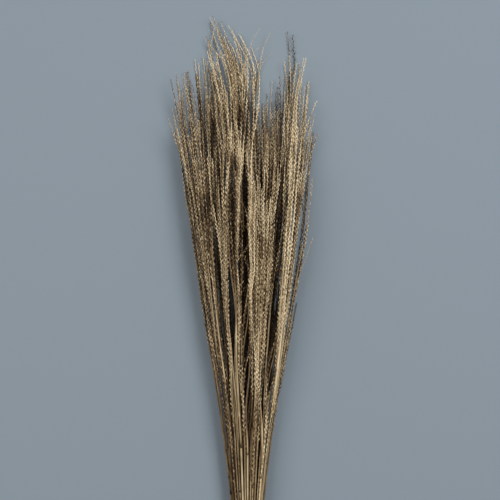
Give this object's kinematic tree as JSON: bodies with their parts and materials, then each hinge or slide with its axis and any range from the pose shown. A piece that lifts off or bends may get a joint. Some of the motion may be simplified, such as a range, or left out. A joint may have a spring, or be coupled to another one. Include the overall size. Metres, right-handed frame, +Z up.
{
  "type": "bundle of pampas grass",
  "caption": "Tied bundle of dried grass stalks with long slim seed spikes, lying on its side, for a tall vase or a dried arrangement.",
  "frame": {"origin": "on the surface that the bundle lies on, under the middle of its box", "axes": "+Y along the stalks from the cut ends to the tips, +Z up from the surface, +X across the bundle"},
  "size_m": [0.1926, 0.826, 0.0825],
  "materials": {
    "dried_grass": "matte",
    "band_rubber": "satin"
  },
  "bodies": {
    "root": {"stalk_01": "dried_grass", "stalk_02": "dried_grass", "stalk_03": "dried_grass", "stalk_04": "dried_grass", "stalk_05": "dried_grass", "stalk_06": "dried_grass", "stalk_07": "dried_grass", "stalk_08": "dried_grass", "stalk_09": "dried_grass", "stalk_10": "dried_grass", "stalk_11": "dried_grass", "stalk_12": "dried_grass", "stalk_13": "dried_grass", "stalk_14": "dried_grass", "stalk_15": "dried_grass", "stalk_16": "dried_grass", "stalk_17": "dried_grass", "stalk_18": "dried_grass", "stalk_19": "dried_grass", "stalk_20": "dried_grass", "stalk_21": "dried_grass", "stalk_22": "dried_grass", "stalk_23": "dried_grass", "stalk_24": "dried_grass", "stalk_25": "dried_grass", "stalk_26": "dried_grass", "stalk_27": "dried_grass", "stalk_28": "dried_grass", "stalk_29": "dried_grass", "stalk_30": "dried_grass", "stalk_31": "dried_grass", "stalk_32": "dried_grass", "stalk_33": "dried_grass", "stalk_34": "dried_grass", "stalk_35": "dried_grass", "stalk_36": "dried_grass", "stalk_37": "dried_grass", "stalk_38": "dried_grass", "stalk_39": "dried_grass", "stalk_40": "dried_grass", "stalk_41": "dried_grass", "stalk_42": "dried_grass", "stalk_43": "dried_grass", "stalk_44": "dried_grass", "stalk_45": "dried_grass", "stalk_46": "dried_grass", "stalk_47": "dried_grass", "stalk_48": "dried_grass", "stalk_49": "dried_grass", "stalk_50": "dried_grass", "stalk_51": "dried_grass", "stalk_52": "dried_grass", "stalk_53": "dried_grass", "stalk_54": "dried_grass", "stalk_55": "dried_grass", "tie_band": "band_rubber"}
  },
  "joints": []
}
